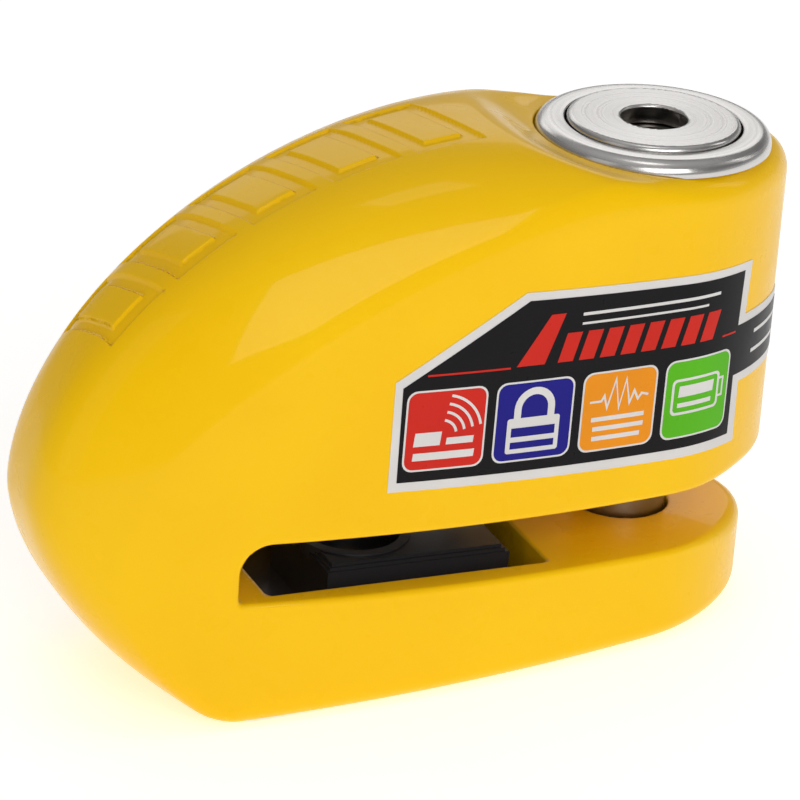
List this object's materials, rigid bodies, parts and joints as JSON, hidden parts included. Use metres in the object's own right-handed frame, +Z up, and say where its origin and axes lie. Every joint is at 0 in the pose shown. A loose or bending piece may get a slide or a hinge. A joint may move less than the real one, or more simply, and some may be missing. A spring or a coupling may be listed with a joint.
{
  "type": "motorcycle disc lock",
  "caption": "Glossy yellow brake disc lock with a siren module: a cast body with a side slot, a push-down keyed plunger with a steel bezel, and a locking pin across the slot.",
  "frame": {"origin": "middle of the outline on the base plane", "axes": "+Z up from the base, +X along the lock from the nose to the mouth of the slot, +Y across it away from the side with the label"},
  "size_m": [0.1033, 0.0382, 0.0687],
  "materials": {
    "yellow_paint": "gloss powder coat over the casting",
    "stainless": "turned faces with polished edges",
    "hardened_steel": "ground, dark",
    "cylinder_brass": "machined",
    "seal_rubber": "matte",
    "black_gloss": "moulded, glossy",
    "black_plastic": "moulded, satin",
    "board_green": "solder resist",
    "battery_wrap": "shrink wrap",
    "contact_metal": "plated spring strip",
    "label_film": "printed, laminated"
  },
  "bodies": {
    "casing": {"body": "yellow_paint", "bezel_ring": "stainless", "guide_bush": "hardened_steel", "return_spring": "hardened_steel", "barrel_seal": "seal_rubber", "pin_seal": "seal_rubber", "stop_screw": "hardened_steel", "alarm_housing": "black_plastic", "alarm_lid": "black_plastic", "lid_gasket": "seal_rubber", "module_screws": "hardened_steel", "circuit_board": "board_green", "board_parts": "black_plastic", "shock_sensor": "cylinder_brass", "reed_switch": "board_green", "battery": "battery_wrap", "battery_contacts": "contact_metal", "siren_disc": "cylinder_brass", "well_plug": "black_gloss", "plug_seal": "seal_rubber", "plug_screws": "hardened_steel", "label": "label_film"},
    "plunger": {"barrel": "stainless", "keyhole_plate": "hardened_steel", "locking_pin": "stainless", "cross_pin": "hardened_steel", "arming_magnet": "hardened_steel"},
    "core": {"lock_core": "cylinder_brass", "detainer_discs": "cylinder_brass", "disc_spacers": "hardened_steel", "sidebar": "hardened_steel", "release_cam": "hardened_steel"},
    "near_ball": {"ball_near": "hardened_steel"},
    "far_ball": {"ball_far": "hardened_steel"}
  },
  "joints": [
    {"name": "plunger_slide", "type": "slide", "parent": "casing", "child": "plunger", "axis": [0.0741, 0, 0.9973], "range_m": [0, 0.0165], "deforming": ["return_spring"]},
    {"name": "core_turn", "type": "hinge", "parent": "plunger", "child": "core", "pos_m": [0.03264, 0, 0.04984], "axis": [0.0741, 0, 0.9973], "range_deg": [-90, 0]},
    {"name": "near_ball_slide", "type": "slide", "parent": "plunger", "child": "near_ball", "axis": [0, -1, 0], "range_m": [0, 0.00135]},
    {"name": "far_ball_slide", "type": "slide", "parent": "plunger", "child": "far_ball", "axis": [0, 1, 0], "range_m": [0, 0.00135]}
  ],
  "couplings": [
    {"joint": "near_ball_slide", "follows": "core_turn", "m_per_rad": -0.000859},
    {"joint": "far_ball_slide", "follows": "core_turn", "m_per_rad": -0.000859}
  ]
}
